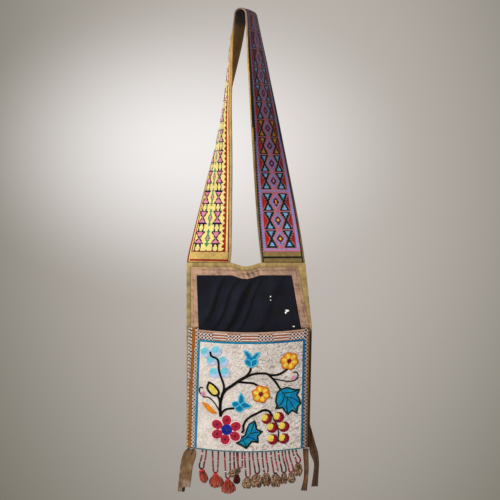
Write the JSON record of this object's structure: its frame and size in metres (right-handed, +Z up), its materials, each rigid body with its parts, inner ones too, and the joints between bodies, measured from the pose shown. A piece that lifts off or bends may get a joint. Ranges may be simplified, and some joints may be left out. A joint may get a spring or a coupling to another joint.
{
  "type": "bandolier bag",
  "caption": "Beaded shoulder bag with a wide beaded strap, a dark cloth panel over a bead-embroidered pocket, and a fringe of bead strings with yarn tassels.",
  "frame": {"origin": "underside of the strap's crown, where the bag hangs", "axes": "+Z up along the hanging bag, +X to the right seen from the front, -Y towards the viewer of the front"},
  "size_m": [0.3395, 0.1114, 1.1606],
  "materials": {
    "lining_cloth": "plain brown cotton",
    "olive_cloth": "worn olive cotton tape",
    "gold_tape": "worn gold tape",
    "dark_wool": "navy-black wool with soft folds and a few pale specks",
    "tan_ribbon": "faded tan and mauve ribbon with stitches",
    "pocket_cloth": "plain cotton",
    "brown_ribbon": "faded brown ribbon",
    "beads_yellow": "opaque glass seed beads",
    "beads_lavender": "opaque glass seed beads",
    "beads_pink": "opaque glass seed beads",
    "beads_red": "opaque glass seed beads",
    "beads_tan": "opaque glass seed beads in a net and in stripes",
    "beads_blue": "opaque glass seed beads",
    "beads_white": "warm white glass seed beads",
    "beads_amber": "amber glass seed beads beside a net edging",
    "beads_leaf_blue": "glass seed beads, blue with green outlines",
    "beads_sky_blue": "glass seed beads, two blues",
    "beads_orange": "glass seed beads, orange and yellow",
    "beads_pale_blue": "glass seed beads, turquoise and pale blue",
    "beads_black": "black glass seed beads",
    "beads_dusty_red": "dusty red glass seed beads on thread",
    "red_yarn": "faded red wool yarn",
    "dark_red_yarn": "dark red wool yarn",
    "tan_yarn": "wool yarn faded to tan"
  },
  "bodies": {
    "root": {"strap_lining": "lining_cloth", "left_strap_beadwork": "beads_yellow", "right_strap_beadwork": "beads_lavender", "left_strap_tab": "olive_cloth", "right_strap_tab": "olive_cloth", "strap_inner_edge": "gold_tape", "strap_outer_edge": "olive_cloth", "left_hourglasses_outer": "beads_pink", "left_hourglasses_inner": "beads_pink", "right_diamonds": "beads_red", "bag_back": "lining_cloth", "wool_panel": "dark_wool", "ribbon_border": "tan_ribbon", "bag_binding": "olive_cloth", "pocket_front": "pocket_cloth", "mouth_band": "beads_tan", "bead_frame": "beads_blue", "pocket_beadwork": "beads_white", "left_side_band": "beads_amber", "right_side_band": "beads_amber", "leaf_right": "beads_leaf_blue", "leaf_lower": "beads_leaf_blue", "tulip": "beads_sky_blue", "bell_flower": "beads_sky_blue", "orange_leaf": "beads_orange", "orange_flower_upper": "beads_orange", "orange_flower_middle": "beads_orange", "red_flower": "beads_red", "blue_berries": "beads_pale_blue", "red_berries": "beads_red", "vine": "beads_black", "lower_stem": "beads_black", "string_01": "beads_dusty_red", "string_02": "beads_dusty_red", "string_03": "beads_dusty_red", "string_04": "beads_dusty_red", "string_05": "beads_dusty_red", "string_06": "beads_dusty_red", "string_07": "beads_dusty_red", "string_08": "beads_dusty_red", "string_09": "beads_dusty_red", "string_10": "beads_dusty_red", "string_11": "beads_dusty_red", "string_12": "beads_dusty_red", "tassel_01": "red_yarn", "tassel_02": "red_yarn", "tassel_03": "red_yarn", "tassel_04": "dark_red_yarn", "tassel_05": "tan_yarn", "tassel_06": "tan_yarn", "tassel_07": "tan_yarn", "tassel_08": "tan_yarn", "tassel_09": "tan_yarn", "tassel_10": "tan_yarn", "tassel_11": "tan_yarn", "tassel_12": "tan_yarn", "left_ribbon_front": "brown_ribbon", "left_ribbon_back": "brown_ribbon", "right_ribbon_inner": "brown_ribbon", "right_ribbon_outer": "brown_ribbon"}
  },
  "joints": []
}
